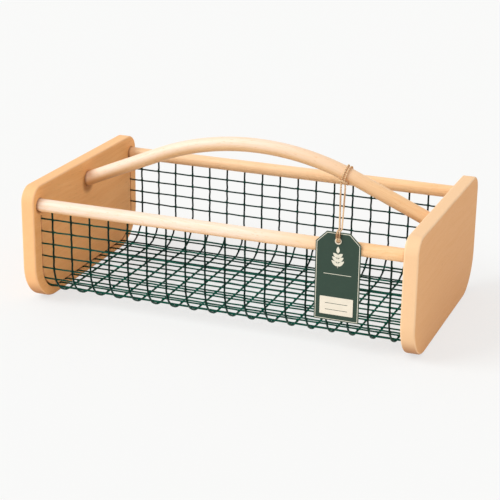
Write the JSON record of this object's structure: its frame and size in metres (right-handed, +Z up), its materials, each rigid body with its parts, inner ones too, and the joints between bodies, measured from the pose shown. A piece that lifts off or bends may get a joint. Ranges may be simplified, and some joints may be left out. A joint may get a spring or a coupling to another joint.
{
  "type": "produce caddy",
  "caption": "Wire mesh trough between two rounded wooden end boards, with dowel rails, an arched wooden carrying handle and a hang tag on twine.",
  "frame": {"origin": "on the floor under the middle of the caddy, midway between the end boards and the rails", "axes": "+Z up, +X along the caddy towards the end where the hang tag hangs, -Y towards the rail that it hangs on"},
  "size_m": [0.5014, 0.288, 0.206],
  "materials": {
    "wood": "satin, clear coated beech",
    "mesh_wire": "satin plastic coating",
    "tag_card": "matte printed card",
    "tag_label": "matte paper",
    "tag_eyelet": "satin paint",
    "twine": "dry natural fibre"
  },
  "bodies": {
    "root": {"panel_left": "wood", "panel_right": "wood", "rail_front": "wood", "rail_rear": "wood", "handle": "wood", "upright_wire_01": "mesh_wire", "upright_wire_02": "mesh_wire", "upright_wire_03": "mesh_wire", "upright_wire_04": "mesh_wire", "upright_wire_05": "mesh_wire", "upright_wire_06": "mesh_wire", "upright_wire_07": "mesh_wire", "upright_wire_08": "mesh_wire", "upright_wire_09": "mesh_wire", "upright_wire_10": "mesh_wire", "upright_wire_11": "mesh_wire", "upright_wire_12": "mesh_wire", "upright_wire_13": "mesh_wire", "upright_wire_14": "mesh_wire", "upright_wire_15": "mesh_wire", "upright_wire_16": "mesh_wire", "upright_wire_17": "mesh_wire", "upright_wire_18": "mesh_wire", "row_wire_01": "mesh_wire", "row_wire_02": "mesh_wire", "row_wire_03": "mesh_wire", "row_wire_04": "mesh_wire", "row_wire_05": "mesh_wire", "row_wire_06": "mesh_wire", "row_wire_07": "mesh_wire", "row_wire_08": "mesh_wire", "row_wire_09": "mesh_wire", "row_wire_10": "mesh_wire", "row_wire_11": "mesh_wire", "row_wire_12": "mesh_wire", "row_wire_13": "mesh_wire", "row_wire_14": "mesh_wire", "row_wire_15": "mesh_wire", "row_wire_16": "mesh_wire", "row_wire_17": "mesh_wire", "row_wire_18": "mesh_wire", "row_wire_19": "mesh_wire", "row_wire_20": "mesh_wire", "row_wire_21": "mesh_wire", "row_wire_22": "mesh_wire", "row_wire_23": "mesh_wire", "row_wire_24": "mesh_wire", "row_wire_25": "mesh_wire", "row_wire_26": "mesh_wire", "row_wire_27": "mesh_wire"},
    "twine": {"tag_twine": "twine"},
    "tag": {"tag_card": "tag_card", "tag_eyelet": "tag_eyelet", "tag_label": "tag_label", "tag_knot": "twine"}
  },
  "joints": [
    {"name": "twine_swing", "type": "hinge", "parent": "root", "child": "twine", "pos_m": [0.1196, 0, 0.17456], "axis": [-0.932, 0, 0.3624], "range_deg": [0, 60]},
    {"name": "tag_swing", "type": "hinge", "parent": "twine", "child": "tag", "pos_m": [0.155, -0.1372, 0.1503], "axis": [-1, 0, 0], "range_deg": [0, 90]}
  ]
}
